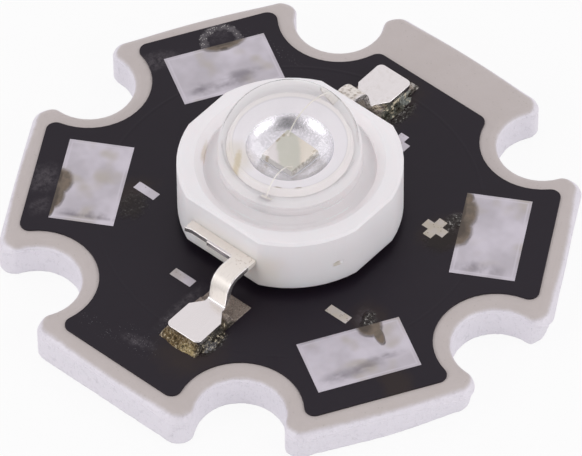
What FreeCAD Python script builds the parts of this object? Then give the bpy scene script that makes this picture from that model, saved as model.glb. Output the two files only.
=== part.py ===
import FreeCAD, Part
import math
import os

import Sketcher

# High-power LED soldered on a six-armed metal-core board.
# Millimetres. The origin is the centre of the board's underside, +Z is up, and +X runs along the arm
# with the wide bare strip, where the positive lead is soldered. Arms lie at 0, 60, 120 degrees and so on.

SIZES = {
    # Board outline and layers
    "board_flats": 19.9,
    "notch_radius": 1.6,
    "notch_wall_run": 0.92276,
    "arm_corner": 0.58,
    "core_thickness": 1.4,
    "punch_roll": 0.15,
    "dielectric_thickness": 0.07,
    "copper_thickness": 0.035,
    "mask_cover": 0.025,
    "mask_margin": 0.645,
    "mask_corner": 0.36,
    "bare_strip": 1.5,
    "copper_margin": 0.3,
    "copper_split": 0.5,
    "thermal_moat": 0.35,
    # Pads and marks
    "tin_coat": 0.03,
    "wire_pad_setback": 1.59,
    "wire_pad_depth": 2.34,
    "wire_pad_width": 3.8,
    "lead_pad_length": 3.05,
    "lead_pad_width": 1.65,
    "lead_pad_toe": 0.28,
    "mark_length": 0.94,
    "mark_stroke": 0.36,
    "side_mark_out": 2.63,
    "side_mark_along": 4.47,
    "end_mark_out": 4.87,
    "end_mark_along": 0.8,
    # Heat slug, chip and bonds, with heights above the mask
    "slug_bond": 0.075,
    "slug_bond_lip": 0.1,
    "slug_base_radius": 2.85,
    "slug_step_height": 0.95,
    "post_radius": 1.5,
    "post_height": 3.05,
    "cup_lip": 0.4,
    "cup_depth": 0.2,
    "cup_floor_radius": 0.78,
    "attach_thickness": 0.02,
    "attach_lip": 0.03,
    "chip_side": 0.94,
    "chip_thickness": 0.15,
    # Leads
    "lead_thickness": 0.22,
    "lead_height": 1.55,
    "foot_height": 0.44,
    "foot_length": 1.245,
    "foot_width": 1.5,
    "foot_corner": 0.22,
    "foot_taper": 0.45,
    "foot_neck": 0.17,
    "lead_offset": 1.135,
    "neck_width": 0.8,
    "shelf_out": 0.44,
    "neck_run": 0.985,
    "leg_angle": 79.0,
    "bend_radius": 0.12,
    "neck_bend_radius": 0.45,
    "shelf_jog": 0.08,
    "shelf_jog_side": 0.38,
    "shelf_corner_side": 1.15,
    "shelf_end_side": 1.4,
    "strip_depth": 1.33,
    "finger_side": 0.3,
    "finger_width": 0.38,
    "finger_clearance": 0.03,
    "finger_land": 0.44,
    "finger_leg_angle": 78.0,
    # Housing
    "stand_off": 0.35,
    "rim_land": 0.62,
    "rim_slope": 0.31,
    "housing_flat_side_cut": 0.36,
    "housing_flat_front_cut": 0.12,
    "rim_height": 2.62,
    "rim_slope_depth": 0.22,
    "rim_bevel": 0.08,
    "shoulder_height": 2.78,
    "gate_angle": -114.0,
    "gate_height": 1.27,
    "gate_half_width": 0.2,
    "gate_half_height": 0.1,
    "gate_depth": 0.07,
    # Lens and gel
    "dome_radius": 2.57,
    "dome_centre_height": 3.03,
    "lens_wall": 0.27,
    "flange_width": 0.45,
    "flange_top": 2.55,
    "flange_thickness": 0.35,
    "flange_clearance": 0.05,
    "flange_bevel": 0.08,
    "skirt_bevel": 0.1,
    # Bond wires
    "wire_diameter": 0.03,
    "wire_crown": 0.28,
    "wire_inset": 0.11,
}

SHEET = "Sizes"
START, STOP, CENTRE = range(1, 4)
LEVEL_AXIS, UPRIGHT_AXIS = range(-1, -3, -1)
ORIGIN_POINT = LEVEL_AXIS
SMALL = 1e-5


class Size:
    """A size: its value now, and the expression that binds a property to the sheet."""

    def __init__(self, value, text):
        self.value = value
        self.text = text

    def _join(self, sign, other, value):
        text = other.text if isinstance(other, Size) else str(other)
        return Size(value, f"({self.text} {sign} {text})")

    def __add__(self, other):
        return self._join("+", other, self.value + number(other))

    def __sub__(self, other):
        return self._join("-", other, self.value - number(other))

    def __mul__(self, other):
        return self._join("*", other, self.value * number(other))

    def __truediv__(self, other):
        return self._join("/", other, self.value / number(other))

    def __neg__(self):
        return Size(-self.value, f"(0 - {self.text})")

    def tan(self):
        return Size(math.tan(math.radians(self.value)), f"tan({self.text})")

    def cos(self):
        return Size(math.cos(math.radians(self.value)), f"cos({self.text})")


def number(size):
    return size.value if isinstance(size, Size) else size


ZERO = Size(0.0, "0")
SIXTH = Size(30.0, "30")


doc = FreeCAD.newDocument("high_power_led")
sheet = doc.addObject("Spreadsheet::Sheet", SHEET)
for row, (alias, value) in enumerate(SIZES.items(), start=1):
    sheet.set(f"A{row}", alias)
    sheet.set(f"B{row}", str(value))
    sheet.setAlias(f"B{row}", alias)
doc.recompute()


def size(alias):
    return Size(float(sheet.get(alias)), f"{SHEET}.{alias}")


# Levels of the board's layers, from the underside of the core

dielectric_level = size("core_thickness")
copper_level = dielectric_level + size("dielectric_thickness")
tin_level = copper_level + size("copper_thickness")
mask_thickness = size("copper_thickness") + size("mask_cover")
seat_level = tin_level + size("mask_cover")
tin_drop = size("mask_cover")

# Lines that several pieces share

board_half = size("board_flats") / 2
notch_reach = (board_half - size("notch_radius") / 2 - size("notch_wall_run")) / SIXTH.cos()
mask_inset = size("mask_margin")
copper_inset = mask_inset + size("copper_margin")
mask_trim = board_half - mask_inset - size("bare_strip")
slug_bottom = size("slug_bond") - tin_drop
slug_bond_radius = size("slug_base_radius") + size("slug_bond_lip")
cup_floor_height = size("post_height") - size("cup_depth")
attach_top = cup_floor_height + size("attach_thickness")
chip_top = attach_top + size("chip_thickness")
lens_bore = size("dome_radius") - size("lens_wall")
lens_seat = size("flange_top") - size("flange_thickness")
shoulder_radius = lens_bore - size("flange_clearance")
flange_radius = size("dome_radius") + size("flange_width")
pocket_radius = flange_radius + size("flange_clearance")
mouth_radius = pocket_radius + size("rim_slope")
housing_radius = mouth_radius + size("rim_land")
flat_side = housing_radius - size("housing_flat_side_cut")
flat_front = housing_radius - size("housing_flat_front_cut")
lead_underside = size("lead_height") - size("lead_thickness")
foot_underside = size("foot_height") - size("lead_thickness")
finger_tip = size("post_radius") + size("finger_clearance")
finger_far = size("finger_side") + size("finger_width")
shelf_reach = flat_side + size("shelf_out")
leg_top = shelf_reach + size("neck_run")
leg_bottom = leg_top + (size("lead_height") - size("foot_height")) / size("leg_angle").tan()
taper_inner = leg_bottom + size("foot_neck")
taper_outer = taper_inner + size("foot_taper")
foot_end = taper_outer + size("foot_length")
pad_outer = foot_end + size("lead_pad_toe")
nodes = {}


# Tools for sketches and features

def new_body(name, level=None, turn=0.0):
    body = doc.addObject("PartDesign::Body", name)
    body.Label = name
    body.Placement = FreeCAD.Placement(FreeCAD.Vector(), FreeCAD.Rotation(FreeCAD.Vector(0, 0, 1), turn))
    if level is not None:
        body.setExpression("Placement.Base.z", level.text)
    nodes[name] = body
    return body


def new_sketch(body, name, plane="XY_Plane", height=None):
    sketch = body.newObject("Sketcher::SketchObject", name)
    origin_plane = [item for item in body.Origin.OriginFeatures if item.Role == plane][0]
    sketch.AttachmentSupport = [(origin_plane, "")]
    sketch.MapMode = "FlatFace"
    if height is not None:
        sketch.setExpression("AttachmentOffset.Base.z", height.text)
    return sketch


def bind(sketch, kind, parts, value):
    place = sketch.addConstraint(Sketcher.Constraint(kind, *parts, value.value))
    sketch.setExpression(f"Constraints[{place}]", value.text)


def pin(sketch, curve, end, x, y):
    """Ties one point of a curve to its two coordinates."""
    if x is ZERO:
        sketch.addConstraint(Sketcher.Constraint("PointOnObject", curve, end, UPRIGHT_AXIS))
    else:
        bind(sketch, "DistanceX", (ORIGIN_POINT, START, curve, end), x)
    if y is ZERO:
        sketch.addConstraint(Sketcher.Constraint("PointOnObject", curve, end, LEVEL_AXIS))
    else:
        bind(sketch, "DistanceY", (ORIGIN_POINT, START, curve, end), y)


def arc_between(first, last, radius, left):
    """An arc of less than half a turn, with its centre on the left or the right of the way it is travelled."""
    middle = (first + last) / 2
    chord = last - first
    reach = math.sqrt(max(0.0, radius**2 - (chord.Length / 2) ** 2))
    aside = FreeCAD.Vector(-chord.y, chord.x, 0).normalize() * reach
    centre = middle + aside if left else middle - aside
    ends = [math.atan2(point.y - centre.y, point.x - centre.x) for point in (first, last)]
    if not left:
        ends.reverse()
    circle = Part.Circle(centre, FreeCAD.Vector(0, 0, 1), radius)
    return Part.ArcOfCircle(circle, *ends)


def draw(sketch, corners, arcs=None):
    """Draws a closed outline. arcs gives (radius, centre on the left) for the side that leaves a corner."""
    arcs = arcs or {}
    points = [FreeCAD.Vector(x.value, y.value, 0) for x, y in corners]
    sides = []
    for place, first in enumerate(points):
        last = points[(place + 1) % len(points)]
        if place in arcs:
            radius, left = arcs[place]
            curve = sketch.addGeometry(arc_between(first, last, radius.value, left), False)
            bind(sketch, "Radius", (curve,), radius)
            sides.append((curve, START, STOP) if left else (curve, STOP, START))
        else:
            sides.append((sketch.addGeometry(Part.LineSegment(first, last), False), START, STOP))
    for place, (curve, begin, end) in enumerate(sides):
        following, following_begin = sides[(place + 1) % len(sides)][:2]
        sketch.addConstraint(Sketcher.Constraint("Coincident", curve, end, following, following_begin))
        pin(sketch, curve, begin, *corners[place])


def draw_circle(sketch, radius):
    curve = sketch.addGeometry(Part.Circle(FreeCAD.Vector(), FreeCAD.Vector(0, 0, 1), radius.value), False)
    sketch.addConstraint(Sketcher.Constraint("Coincident", curve, CENTRE, ORIGIN_POINT, START))
    bind(sketch, "Radius", (curve,), radius)


def box_corners(low_x, high_x, low_y, high_y):
    return [(low_x, low_y), (high_x, low_y), (high_x, high_y), (low_x, high_y)]


def pad(body, sketch, length, symmetric=False):
    feature = body.newObject("PartDesign::Pad", sketch.Name + "_pad")
    feature.Profile = sketch
    feature.setExpression("Length", length.text)
    if symmetric:
        feature.SideType = "Symmetric"
    doc.recompute()
    return feature


def cut_through(body, sketch):
    before = body.Shape.Volume
    feature = body.newObject("PartDesign::Pocket", sketch.Name + "_cut")
    feature.Profile = sketch
    feature.Type = "ThroughAll"
    feature.SideType = "Symmetric"
    doc.recompute()
    if body.Shape.Volume > before - SMALL:
        raise ValueError(f"{feature.Name} removes nothing")
    return feature


def revolve(body, sketch):
    feature = body.newObject("PartDesign::Revolution", sketch.Name + "_turned")
    feature.Profile = sketch
    feature.ReferenceAxis = (sketch, ["V_Axis"])
    feature.Angle = 360.0
    doc.recompute()
    return feature


def dress_edges(body, kind, measure, feature, wanted, amount, name):
    chosen = [f"Edge{place}" for place, edge in enumerate(feature.Shape.Edges, start=1) if wanted(edge)]
    if not chosen:
        raise ValueError(f"{name} finds no edge")
    dressing = body.newObject(kind, name)
    dressing.Base = (feature, chosen)
    dressing.setExpression(measure, amount.text)
    doc.recompute()
    return dressing


def fillet(body, feature, wanted, radius, name):
    """Rounds the edges of a feature that wanted() picks."""
    return dress_edges(body, "PartDesign::Fillet", "Radius", feature, wanted, radius, name)


def chamfer(body, feature, wanted, width, name):
    """Bevels the edges of a feature that wanted() picks."""
    return dress_edges(body, "PartDesign::Chamfer", "Size", feature, wanted, width, name)


def is_upright(edge):
    box = edge.BoundBox
    return box.XLength < SMALL and box.YLength < SMALL


def runs_across(edge, x, z):
    """True for a straight edge along Y at the given x and z."""
    box = edge.BoundBox
    flat = box.XLength < SMALL and box.ZLength < SMALL
    return flat and abs(box.XMin - x.value) < SMALL and abs(box.ZMin - z.value) < SMALL


def is_ring(edge, radius, height):
    """True for a level edge that lies on a circle about Z."""
    box = edge.BoundBox
    if box.ZLength > SMALL or abs(box.ZMin - height.value) > SMALL:
        return False
    return all(abs(math.hypot(point.x, point.y) - radius.value) < SMALL for point in edge.discretize(3))


# Board layers that share the outline with six arms and six notches

def board_outline(body, inset, thickness):
    """A hexagon with a round-bottomed notch cut from each of its corners."""
    flat = board_half - inset
    point = flat / SIXTH.cos()
    side = flat * SIXTH.tan()
    hexagon = new_sketch(body, body.Name + "_hexagon")
    draw(hexagon, [(flat, -side), (flat, side), (ZERO, point), (-flat, side), (-flat, -side), (ZERO, -point)])
    pad(body, hexagon, thickness)

    notch_half = size("notch_radius") + inset
    notch_mouth = point + notch_half
    notch_level = notch_reach
    notch = new_sketch(body, body.Name + "_notch")
    corners = [(-notch_half, notch_mouth), (-notch_half, notch_level), (ZERO, notch_level - notch_half),
               (notch_half, notch_level), (notch_half, notch_mouth)]
    draw(notch, corners, {1: (notch_half, True), 2: (notch_half, True)})
    first_notch = cut_through(body, notch)

    ring = body.newObject("PartDesign::PolarPattern", body.Name + "_notches")
    ring.Originals = [first_notch]
    ring.Axis = ([item for item in body.Origin.OriginFeatures if item.Role == "Z_Axis"][0], [""])
    ring.Angle = 360.0
    ring.Occurrences = 6
    body.Tip = ring
    doc.recompute()
    return ring


def trim_beyond(body, near, far, reach, name):
    """Cuts off everything between two values of x."""
    sketch = new_sketch(body, name)
    draw(sketch, box_corners(near, far, -reach, reach))
    return cut_through(body, sketch)


def round_arms(body, feature, inset, corner, trims=()):
    """Rounds the upright corners on the arms' end faces, also where an arm is trimmed."""
    flat = (board_half - inset).value

    def on_arm_end(edge):
        if not is_upright(edge):
            return False
        x, y = edge.Vertexes[0].Point.x, edge.Vertexes[0].Point.y
        ends = [x * math.cos(math.radians(turn)) + y * math.sin(math.radians(turn)) for turn in range(0, 360, 60)]
        return max(ends) > flat - SMALL or any(abs(x - trim.value) < SMALL for trim in trims)

    return fillet(body, feature, on_arm_end, corner, body.Name + "_corners")


def make_core():
    body = new_body("aluminium_core")
    ring = board_outline(body, ZERO, size("core_thickness"))
    rounded = round_arms(body, ring, ZERO, size("arm_corner"))
    top = size("core_thickness").value
    chamfer(body, rounded, lambda edge: edge.BoundBox.ZMin > top - SMALL, size("punch_roll"), "core_die_roll")


def make_dielectric():
    body = new_body("dielectric_layer", dielectric_level)
    inset = size("punch_roll")
    ring = board_outline(body, inset, size("dielectric_thickness"))
    round_arms(body, ring, inset, size("arm_corner") - inset)


def make_copper_half(name, side):
    """One of the two large copper areas; side is 1 on the positive half."""
    body = new_body(name, copper_level)
    board_outline(body, copper_inset, size("copper_thickness"))
    reach = board_half / SIXTH.cos()
    split = size("copper_split") / 2
    if side > 0:
        trim_beyond(body, mask_trim - size("copper_margin"), reach, reach, name + "_strip")
        trim_beyond(body, -reach, split, reach, name + "_half")
    else:
        trim_beyond(body, -split, reach, reach, name + "_half")
    moat = new_sketch(body, name + "_moat")
    draw_circle(moat, slug_bond_radius + size("thermal_moat"))
    cut_through(body, moat)


def make_thermal_copper():
    body = new_body("copper_thermal", copper_level)
    disc = new_sketch(body, "thermal_disc")
    draw_circle(disc, slug_bond_radius)
    pad(body, disc, size("copper_thickness"))


def make_wire_pad(turn):
    body = new_body(f"wire_pad_{turn}", tin_level, turn)
    half = size("wire_pad_width") / 2
    far = board_half - size("wire_pad_setback")
    plate = new_sketch(body, f"wire_pad_{turn}_plate")
    draw(plate, box_corners(far - size("wire_pad_depth"), far, -half, half))
    pad(body, plate, size("tin_coat"))


def make_mark(name, x, y, plus):
    body = new_body(name, tin_level)
    stroke = size("mark_stroke") / 2
    half = size("mark_length") / 2
    sketch = new_sketch(body, name + "_shape")
    if plus:
        corners = [(x + half, y - stroke), (x + half, y + stroke), (x + stroke, y + stroke),
                   (x + stroke, y + half), (x - stroke, y + half), (x - stroke, y + stroke),
                   (x - half, y + stroke), (x - half, y - stroke), (x - stroke, y - stroke),
                   (x - stroke, y - half), (x + stroke, y - half), (x + stroke, y - stroke)]
    else:
        corners = box_corners(x - stroke, x + stroke, y - half, y + half)
    draw(sketch, corners)
    pad(body, sketch, size("tin_coat"))


def make_marks():
    out, along = size("side_mark_out"), size("side_mark_along")
    end_out, end_along = size("end_mark_out"), size("end_mark_along")
    make_mark("minus_mark_left", -end_out, end_along, False)
    make_mark("minus_mark_front", -out, -along, False)
    make_mark("minus_mark_rear", -out, along, False)
    make_mark("plus_mark_right", end_out, -end_along, True)
    make_mark("plus_mark_front", out, -along, True)
    make_mark("plus_mark_rear", out, along, True)


def make_mask():
    """The mask is laid over the copper and left open where tin and solder lie."""
    blank = new_body("mask_blank", copper_level)
    board_outline(blank, mask_inset, mask_thickness)
    reach = board_half / SIXTH.cos()
    trim_beyond(blank, mask_trim, reach, reach, "mask_bare_strip")
    round_arms(blank, blank.Tip, mask_inset, size("mask_corner"), [mask_trim])
    del nodes["mask_blank"]
    under = [item for name, item in nodes.items() if name != "aluminium_core"]
    cut_from("solder_mask", blank, under)


def cut_from(name, base, tools):
    """A node made of a base piece with the room for other pieces cut from it."""
    together = doc.addObject("Part::Compound", name + "_rooms")
    together.Links = tools
    result = doc.addObject("Part::Cut", name)
    result.Base = base
    result.Tool = together
    result.Label = name
    doc.recompute()
    nodes[name] = result


# Solder

def make_solder_joint(name, turn):
    """The tinned lead pad with the solder that rises from it to the underside of the foot."""
    body = new_body(name, tin_level, turn)
    pad_inner = pad_outer - size("lead_pad_length")
    low = size("lead_offset") - size("lead_pad_width") / 2
    high = size("lead_offset") + size("lead_pad_width") / 2
    plate = new_sketch(body, name + "_plate")
    draw(plate, box_corners(pad_inner, pad_outer, low, high))
    pad(body, plate, size("tin_coat"))

    foot_half = size("foot_width") / 2
    spread = (size("lead_pad_width") - size("foot_width")) / 4
    toe = (pad_outer - foot_end) / 2
    lower = new_sketch(body, name + "_wetted", height=size("tin_coat"))
    draw(lower, box_corners(taper_inner - foot_half / 2, pad_outer - toe, low + spread, high - spread))
    upper = new_sketch(body, name + "_under_foot", height=foot_underside + tin_drop)
    draw(upper, box_corners(taper_inner, foot_end, size("lead_offset") - foot_half,
                            size("lead_offset") + foot_half))
    rise = body.newObject("PartDesign::AdditiveLoft", name + "_rise")
    rise.Profile = lower
    rise.Sections = [upper]
    rise.Ruled = True
    doc.recompute()


def make_slug_solder():
    body = new_body("slug_solder", tin_level)
    disc = new_sketch(body, "slug_solder_disc")
    draw_circle(disc, slug_bond_radius)
    pad(body, disc, size("slug_bond"))


# Emitter, with heights above the mask

def make_slug():
    body = new_body("heat_slug", seat_level)
    base, post, rim = size("slug_base_radius"), size("post_radius"), size("post_height")
    step = size("slug_step_height")
    section = new_sketch(body, "slug_section", "XZ_Plane")
    corners = [(ZERO, slug_bottom), (base, slug_bottom), (base, step), (post, step), (post, rim),
               (post - size("cup_lip"), rim), (size("cup_floor_radius"), cup_floor_height),
               (ZERO, cup_floor_height)]
    draw(section, corners)
    revolve(body, section)


def make_chip():
    attach = new_body("die_attach", seat_level)
    half = size("chip_side") / 2 + size("attach_lip")
    layer = new_sketch(attach, "attach_layer", height=cup_floor_height)
    draw(layer, box_corners(-half, half, -half, half))
    pad(attach, layer, size("attach_thickness"))

    chip = new_body("led_chip", seat_level)
    half = size("chip_side") / 2
    die = new_sketch(chip, "chip_die", height=attach_top)
    draw(die, box_corners(-half, half, -half, half))
    pad(chip, die, size("chip_thickness"))


def round_bends(body, strip, corners, radius, name):
    return fillet(body, strip, lambda edge: any(runs_across(edge, x, z) for x, z in corners), radius, name)


def make_lead(name, turn):
    """A bent strip: finger inside, shelf at the housing's wall, gull-wing leg and foot outside."""
    body = new_body(name, seat_level, turn)
    thick = size("lead_thickness")
    top, foot_top = size("lead_height"), size("foot_height")
    finger_top = size("shoulder_height")
    finger_low = finger_top - thick
    inner_top = finger_tip + size("finger_land")
    inner_foot = inner_top + (finger_top - top) / size("finger_leg_angle").tan()
    inner_mitre = thick * (size("finger_leg_angle") / 2).tan()
    outer_mitre = thick * (size("leg_angle") / 2).tan()

    section = new_sketch(body, name + "_section", "XZ_Plane")
    draw(section, [
        (finger_tip, finger_top), (inner_top, finger_top), (inner_foot, top), (leg_top, top),
        (leg_bottom, foot_top), (foot_end, foot_top), (foot_end, foot_underside),
        (leg_bottom - outer_mitre, foot_underside), (leg_top - outer_mitre, lead_underside),
        (inner_foot - inner_mitre, lead_underside), (inner_top - inner_mitre, finger_low),
        (finger_tip, finger_low)])
    strip = pad(body, section, housing_radius, symmetric=True)

    tight, wide = size("bend_radius"), size("neck_bend_radius")
    strip = round_bends(body, strip, [(inner_top - inner_mitre, finger_low), (inner_foot, top),
                                      (leg_bottom, foot_top)], tight, name + "_inner_bends")
    strip = round_bends(body, strip, [(inner_top, finger_top), (inner_foot - inner_mitre, lead_underside),
                                      (leg_bottom - outer_mitre, foot_underside)], tight + thick,
                        name + "_outer_bends")
    strip = round_bends(body, strip, [(leg_top - outer_mitre, lead_underside)], wide, name + "_neck_inside")
    round_bends(body, strip, [(leg_top, top)], wide + thick, name + "_neck_outside")

    middle = size("lead_offset")
    neck, foot = size("neck_width") / 2, size("foot_width") / 2
    shelf, jog = shelf_reach, shelf_reach - size("shelf_jog")
    inside = shelf_reach - size("strip_depth")
    beyond = foot_end + size("foot_width")
    plan = new_sketch(body, name + "_plan")
    draw(plan, box_corners(-beyond, beyond, -beyond, beyond))
    draw(plan, [
        (finger_tip, size("finger_side")), (inside, size("finger_side")), (inside, -size("shelf_end_side")),
        (shelf, -size("shelf_end_side")), (jog, -size("shelf_corner_side")),
        (jog, -size("shelf_jog_side")), (shelf, -size("shelf_jog_side")), (shelf, middle - neck),
        (taper_inner, middle - neck), (taper_outer, middle - foot),
        (foot_end, middle - foot), (foot_end, middle + foot), (taper_outer, middle + foot),
        (taper_inner, middle + neck), (inside, middle + neck),
        (inside, finger_far), (finger_tip, finger_far)])
    blanked = cut_through(body, plan)
    fillet(body, blanked, lambda edge: is_upright(edge) and edge.BoundBox.XMin > foot_end.value - SMALL,
           size("foot_corner"), name + "_foot_corners")


def make_housing():
    blank = new_body("housing_blank", seat_level)
    outer, rim, bottom = housing_radius, size("rim_height"), size("stand_off")
    base, post, step = size("slug_base_radius"), size("post_radius"), size("slug_step_height")
    shoulder = size("shoulder_height")
    section = new_sketch(blank, "housing_section", "XZ_Plane")
    draw(section, [
        (base, bottom), (outer, bottom), (outer, rim), (mouth_radius, rim),
        (pocket_radius, rim - size("rim_slope_depth")), (pocket_radius, lens_seat),
        (shoulder_radius, lens_seat), (shoulder_radius, shoulder), (post, shoulder),
        (post, step), (base, step)])
    revolve(blank, section)

    flats = new_sketch(blank, "housing_flats")
    around = outer * 2
    draw(flats, box_corners(-around, around, -around, around))
    draw(flats, box_corners(-flat_side, flat_side, -flat_front, flat_front))
    flattened = cut_through(blank, flats)
    mouth = mouth_radius.value

    def is_outer_rim(edge):
        box = edge.BoundBox
        high = box.ZMin > rim.value - SMALL and box.ZMax < rim.value + SMALL
        return high and all(math.hypot(point.x, point.y) > mouth + SMALL for point in edge.discretize(3))

    chamfer(blank, flattened, is_outer_rim, size("rim_bevel"), "rim_edge_bevel")

    gate = blank.newObject("PartDesign::SubtractiveEllipsoid", "gate_mark")
    turn = size("gate_angle")
    gate.setExpression("Placement.Base.x", f"{outer.text} * cos({turn.text})")
    gate.setExpression("Placement.Base.y", f"{outer.text} * sin({turn.text})")
    gate.setExpression("Placement.Base.z", size("gate_height").text)
    gate.Placement.Rotation = FreeCAD.Rotation(FreeCAD.Vector(0, 0, 1), turn.value)
    gate.setExpression("Radius1", size("gate_half_height").text)
    gate.setExpression("Radius2", size("gate_depth").text)
    gate.setExpression("Radius3", size("gate_half_width").text)
    doc.recompute()
    del nodes["housing_blank"]
    cut_from("housing", blank, [nodes["lead_negative"], nodes["lead_positive"]])


def make_lens():
    body = new_body("lens", seat_level)
    dome, flange = size("dome_radius"), flange_radius
    centre, top = size("dome_centre_height"), size("flange_top")
    section = new_sketch(body, "lens_section", "XZ_Plane")
    draw(section, [
        (lens_bore, lens_seat), (flange, lens_seat), (flange, top), (dome, top), (dome, centre),
        (ZERO, centre + dome), (ZERO, centre + lens_bore), (lens_bore, centre)],
        {4: (dome, True), 6: (lens_bore, False)})
    turned = revolve(body, section)
    turned = chamfer(body, turned, lambda edge: is_ring(edge, flange, top), size("flange_bevel"), "flange_bevel")
    chamfer(body, turned, lambda edge: is_ring(edge, dome, top), size("skirt_bevel"), "skirt_bevel")


def flat_sided(circle):
    """The outline of a very small circle, drawn with six flats."""
    return Part.makePolygon(circle.discretize(7))


def bond_foot(place, radius, height):
    """A short six-sided post that stands for the ball or the stitch at one end of a wire."""
    upward = FreeCAD.Vector(0, 0, 1)
    return Part.Face(flat_sided(Part.makeCircle(radius, place, upward))).extrude(upward * height)


def make_bond_wire(name, start, stop):
    """A gold wire in one arc from a ball on the chip's top to a stitch on the finger of a lead."""
    radius = size("wire_diameter").value / 2
    crown = max(start.z, stop.z) + size("wire_crown").value
    middle = FreeCAD.Vector((start.x + stop.x) / 2, (start.y + stop.y) / 2, crown)
    path = Part.Wire(Part.Arc(start, middle, stop).toShape())
    edge = path.Edges[0]
    ring = Part.makeCircle(radius, start, edge.tangentAt(edge.FirstParameter))
    pipe = path.makePipeShell([flat_sided(ring)], True, True)
    ball = bond_foot(start, radius * 2.2, radius * 1.6)
    stitch = bond_foot(stop, radius * 1.8, radius * 0.8)
    below = [Part.makeCylinder(radius * 6, radius * 6, point - FreeCAD.Vector(0, 0, radius * 6))
             for point in (start, stop)]
    shape = pipe.fuse([ball, stitch]).cut(below)
    wire = doc.addObject("Part::Feature", name)
    wire.Label = name
    wire.Shape = shape.Solids[0] if len(shape.Solids) == 1 else shape
    wire.Placement = FreeCAD.Placement(FreeCAD.Vector(0, 0, seat_level.value), FreeCAD.Rotation())
    nodes[name] = wire


def make_bond_wires():
    corner = size("chip_side").value / 2 - size("wire_inset").value
    finger = (size("finger_side").value + finger_far.value) / 2
    landing = finger_tip.value + size("wire_inset").value
    for name, side in (("bond_wire_positive", 1), ("bond_wire_negative", -1)):
        start = FreeCAD.Vector(corner * side, corner * side, chip_top.value)
        stop = FreeCAD.Vector(landing * side, finger * side, size("shoulder_height").value)
        make_bond_wire(name, start, stop)


def make_gel():
    blank = new_body("gel_blank", seat_level)
    post, rim, centre = size("post_radius"), size("post_height"), size("dome_centre_height")
    shoulder = size("shoulder_height")
    section = new_sketch(blank, "gel_section", "XZ_Plane")
    draw(section, [
        (ZERO, cup_floor_height), (size("cup_floor_radius"), cup_floor_height), (post - size("cup_lip"), rim),
        (post, rim), (post, shoulder), (shoulder_radius, shoulder), (shoulder_radius, lens_seat),
        (lens_bore, lens_seat), (lens_bore, centre), (ZERO, centre + lens_bore)],
        {8: (lens_bore, True)})
    revolve(blank, section)
    del nodes["gel_blank"]
    inside = ("die_attach", "led_chip", "bond_wire_positive", "bond_wire_negative")
    cut_from("silicone_gel", blank, [nodes[name] for name in inside])


def check_document():
    for item in doc.Objects:
        if "Invalid" in item.State or "Error" in item.State:
            raise ValueError(f"{item.Name} failed: {item.State}")
    for name, item in nodes.items():
        shape = item.Shape
        if shape.isNull() or not shape.isValid() or not shape.Solids:
            raise ValueError(f"{name} has no valid solid")


def main():
    make_core()
    make_dielectric()
    make_copper_half("copper_negative", -1)
    make_copper_half("copper_positive", 1)
    make_thermal_copper()
    for turn in (60, 120, 240, 300):
        make_wire_pad(turn)
    make_marks()
    make_solder_joint("solder_joint_positive", 0.0)
    make_solder_joint("solder_joint_negative", 180.0)
    make_slug_solder()
    make_mask()
    make_slug()
    make_chip()
    make_lead("lead_positive", 0.0)
    make_lead("lead_negative", 180.0)
    make_housing()
    make_lens()
    make_bond_wires()
    make_gel()
    doc.recompute()
    check_document()
    os.makedirs("parts", exist_ok=True)
    for name, item in sorted(nodes.items()):
        item.Shape.exportStep(f"parts/{name}.step")
        print(f"{name}: {len(item.Shape.Solids)} solid, {item.Shape.Volume:.4f} cubic mm")


main()
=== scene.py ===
import math

import bmesh
import bpy
from mathutils import Matrix, Vector, noise


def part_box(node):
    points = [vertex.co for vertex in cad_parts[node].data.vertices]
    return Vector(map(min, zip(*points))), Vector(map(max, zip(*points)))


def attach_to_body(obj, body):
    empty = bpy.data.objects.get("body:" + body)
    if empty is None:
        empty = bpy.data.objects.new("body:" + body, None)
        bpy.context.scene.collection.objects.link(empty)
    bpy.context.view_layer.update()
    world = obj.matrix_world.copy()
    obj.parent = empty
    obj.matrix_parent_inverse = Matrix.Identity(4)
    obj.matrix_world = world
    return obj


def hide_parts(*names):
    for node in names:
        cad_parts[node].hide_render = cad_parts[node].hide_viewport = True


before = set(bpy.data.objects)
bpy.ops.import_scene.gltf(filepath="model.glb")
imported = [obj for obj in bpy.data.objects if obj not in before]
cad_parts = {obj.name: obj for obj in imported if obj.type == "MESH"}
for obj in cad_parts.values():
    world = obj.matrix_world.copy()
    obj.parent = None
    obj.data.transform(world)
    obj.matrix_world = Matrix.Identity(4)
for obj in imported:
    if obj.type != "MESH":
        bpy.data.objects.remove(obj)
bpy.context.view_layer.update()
scene = bpy.context.scene
MM = 0.001


# The core of the board is a sheet of aluminium, punched with six arms and six screw notches.
# The punch draws the upper edge round, most of all at the corners, and drags the beige resin over
# it. The side below is pale and scored, and the corners on -Y taper towards the bottom.
core_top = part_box("aluminium_core")[1].z
layer_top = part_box("dielectric_layer")[1].z
core_color = (0.81, 0.785, 0.84)
core_pale_color = (0.91, 0.885, 0.94)
core_worn_color = (0.56, 0.54, 0.59)
core_fleck_color = (0.30, 0.29, 0.31)
resin_color = (0.55, 0.50, 0.475)
resin_pale_color = (0.61, 0.56, 0.545)
resin_fleck_color = (0.40, 0.37, 0.33)
score_size = 0.10 * MM
score_length = 0.26 * MM
outline_step = 0.14 * MM
roll_width = 0.34 * MM
roll_depth = 0.20 * MM
roll_steps = 8
side_steps = 9
side_gap = 0.02 * MM
corner_zone = 0.75 * MM
corner_fall = 0.17 * MM
corner_spread = 0.3
corner_taper = 0.34 * MM
taper_start = 5.0 * MM
taper_full = 9.0 * MM
taper_curve = 1.2
dent_depth = 0.028 * MM
dent_size = 0.4 * MM
foot_round = 0.06 * MM
drag_start = 0.07 * MM
drag_end = 0.22 * MM
worn_foot_top = 0.11 * MM
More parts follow.
